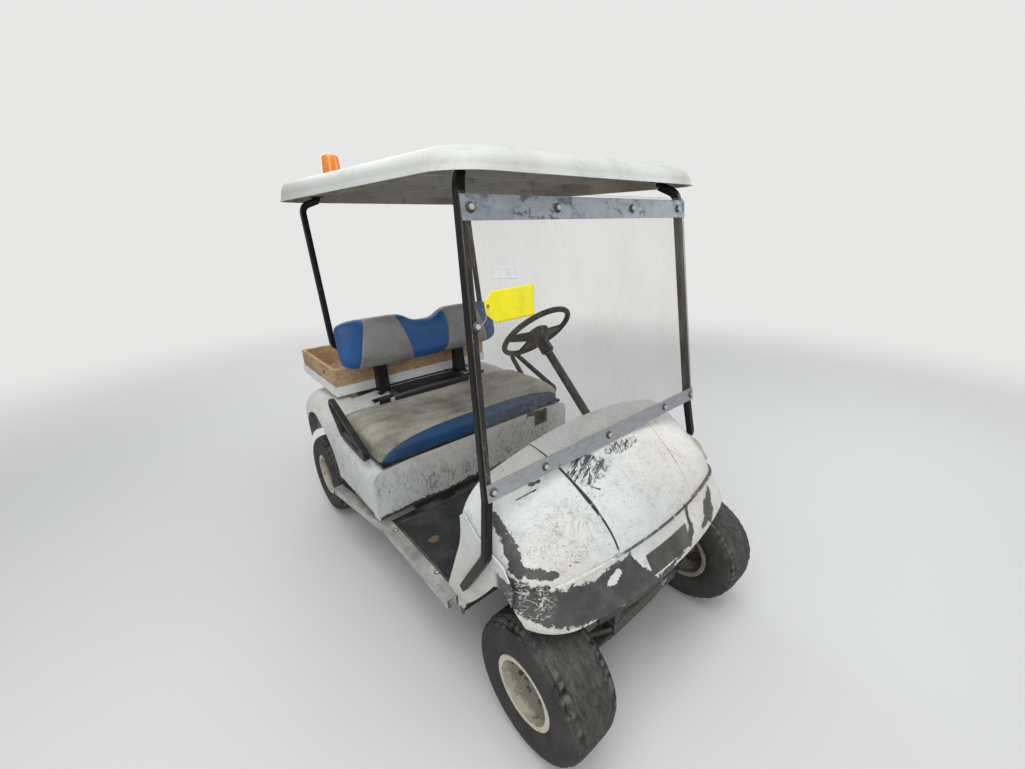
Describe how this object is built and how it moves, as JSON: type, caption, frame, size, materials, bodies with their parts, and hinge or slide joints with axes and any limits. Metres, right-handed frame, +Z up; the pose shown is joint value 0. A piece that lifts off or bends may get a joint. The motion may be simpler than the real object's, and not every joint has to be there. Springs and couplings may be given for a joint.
{
  "type": "golf cart",
  "caption": "Two-seat golf cart with a moulded canopy on four struts, a clear windshield, a bench seat with bolster, and a wooden cargo box on a steel frame.",
  "frame": {"origin": "on the floor under the middle of the whole cart", "axes": "+Z up; the cart faces -Y and its left side, with the steering wheel, is +X"},
  "size_m": [1.2317, 2.3413, 1.8732],
  "materials": {
    "frame_black": "dusty satin",
    "axle_black": "dusty satin",
    "tyre_black": "worn, dusty",
    "rim_white": "dull, dirty",
    "battery_case": "matt",
    "floor_black": "matt",
    "mat_rubber": "ribbed, dusty",
    "rocker_aluminium": "dull, scuffed",
    "body_white": "worn paint over dark grey",
    "nose_grey": "bare recess",
    "dash_black": "grained",
    "bumper_black": "scuffed",
    "socket_black": "matt",
    "lamp_red": "dark, dusty",
    "board_ply": "raw",
    "cushion_vinyl": "worn vinyl",
    "bolster_vinyl": "worn vinyl",
    "bracket_black": "satin",
    "restraint_black": "dusty",
    "canopy_cream": "dull, stained",
    "strut_black": "satin",
    "acrylic_clear": "dirty, scratched",
    "bar_galvanised": "mottled zinc",
    "bar_aluminium": "dull",
    "steering_black": "worn",
    "column_black": "satin",
    "pedal_rubber": "worn",
    "beacon_black": "matt",
    "beacon_amber": "clear tinted",
    "chipboard": "raw edges",
    "frame_white": "chipped"
  },
  "bodies": {
    "cart": {"chassis_frame": "frame_black", "front_suspension": "axle_black", "rear_axle": "axle_black", "rear_suspension": "axle_black", "battery_pack": "battery_case", "floorboard": "floor_black", "floor_mat": "mat_rubber", "rocker_panels": "rocker_aluminium", "front_cowl": "body_white", "nose_plate": "nose_grey", "dash_panel": "dash_black", "bumpers": "bumper_black", "rear_body": "body_white", "receptacle": "socket_black", "tail_lamps": "lamp_red", "seat_back": "bolster_vinyl", "seat_back_frame": "bracket_black", "hip_restraints": "restraint_black", "canopy": "canopy_cream", "front_struts": "strut_black", "rear_struts": "strut_black", "windshield": "acrylic_clear", "upper_clamp_bar": "bar_galvanised", "lower_clamp_bar": "bar_aluminium", "steering_column": "column_black", "pedals": "pedal_rubber", "beacon_base": "beacon_black", "beacon_lens": "beacon_amber", "cargo_box": "chipboard", "cargo_frame": "frame_white"},
    "right_steer": {"right_knuckle": "axle_black"},
    "left_steer": {"left_knuckle": "axle_black"},
    "front_right_wheel": {"front_right_tyre": "tyre_black", "front_right_rim": "rim_white"},
    "front_left_wheel": {"front_left_tyre": "tyre_black", "front_left_rim": "rim_white"},
    "rear_right_wheel": {"rear_right_tyre": "tyre_black", "rear_right_rim": "rim_white"},
    "rear_left_wheel": {"rear_left_tyre": "tyre_black", "rear_left_rim": "rim_white"},
    "steering": {"steering_wheel": "steering_black"},
    "pitman": {"pitman_arm": "axle_black"},
    "track_rod": {"tie_rod": "axle_black"},
    "seat": {"seat_board": "board_ply", "seat_cushion": "cushion_vinyl"}
  },
  "joints": [
    {"name": "steering_wheel_turn", "type": "hinge", "parent": "cart", "child": "steering", "pos_m": [0.27176, -0.17165, 1.058], "axis": [0, -0.7193, -0.6947], "range_deg": [-295, 295]},
    {"name": "right_knuckle_steer", "type": "hinge", "parent": "cart", "child": "right_steer", "pos_m": [-0.32924, -0.94565, 0.225], "axis": [0, 0, 1], "range_deg": [-30, 30]},
    {"name": "left_knuckle_steer", "type": "hinge", "parent": "cart", "child": "left_steer", "pos_m": [0.36476, -0.94565, 0.225], "axis": [0, 0, 1], "range_deg": [-30, 30]},
    {"name": "pitman_arm_swing", "type": "hinge", "parent": "cart", "child": "pitman", "pos_m": [0.11776, -0.94565, 0.213], "axis": [0, 0, 1], "range_deg": [-30, 30]},
    {"name": "track_rod_link", "type": "hinge", "parent": "right_steer", "child": "track_rod", "pos_m": [-0.32924, -0.87965, 0.213], "axis": [0, 0, 1], "range_deg": [-30, 30]},
    {"name": "front_right_wheel_spin", "type": "hinge", "parent": "right_steer", "child": "front_right_wheel", "pos_m": [-0.43324, -0.94565, 0.225], "axis": [1, 0, 0], "continuous": true},
    {"name": "front_left_wheel_spin", "type": "hinge", "parent": "left_steer", "child": "front_left_wheel", "pos_m": [0.46876, -0.94565, 0.225], "axis": [1, 0, 0], "continuous": true},
    {"name": "rear_right_wheel_spin", "type": "hinge", "parent": "cart", "child": "rear_right_wheel", "pos_m": [-0.47424, 0.71035, 0.225], "axis": [1, 0, 0], "continuous": true},
    {"name": "rear_left_wheel_spin", "type": "hinge", "parent": "cart", "child": "rear_left_wheel", "pos_m": [0.50976, 0.71035, 0.225], "axis": [1, 0, 0], "continuous": true},
    {"name": "seat_lift", "type": "hinge", "parent": "cart", "child": "seat", "pos_m": [0.01776, 0.42635, 0.707], "axis": [-1, 0, 0], "range_deg": [0, 60]}
  ],
  "couplings": [
    {"joint": "right_knuckle_steer", "follows": "steering_wheel_turn", "ratio": -0.1},
    {"joint": "left_knuckle_steer", "follows": "steering_wheel_turn", "ratio": -0.1},
    {"joint": "pitman_arm_swing", "follows": "steering_wheel_turn", "ratio": -0.1},
    {"joint": "track_rod_link", "follows": "steering_wheel_turn", "ratio": 0.1}
  ]
}
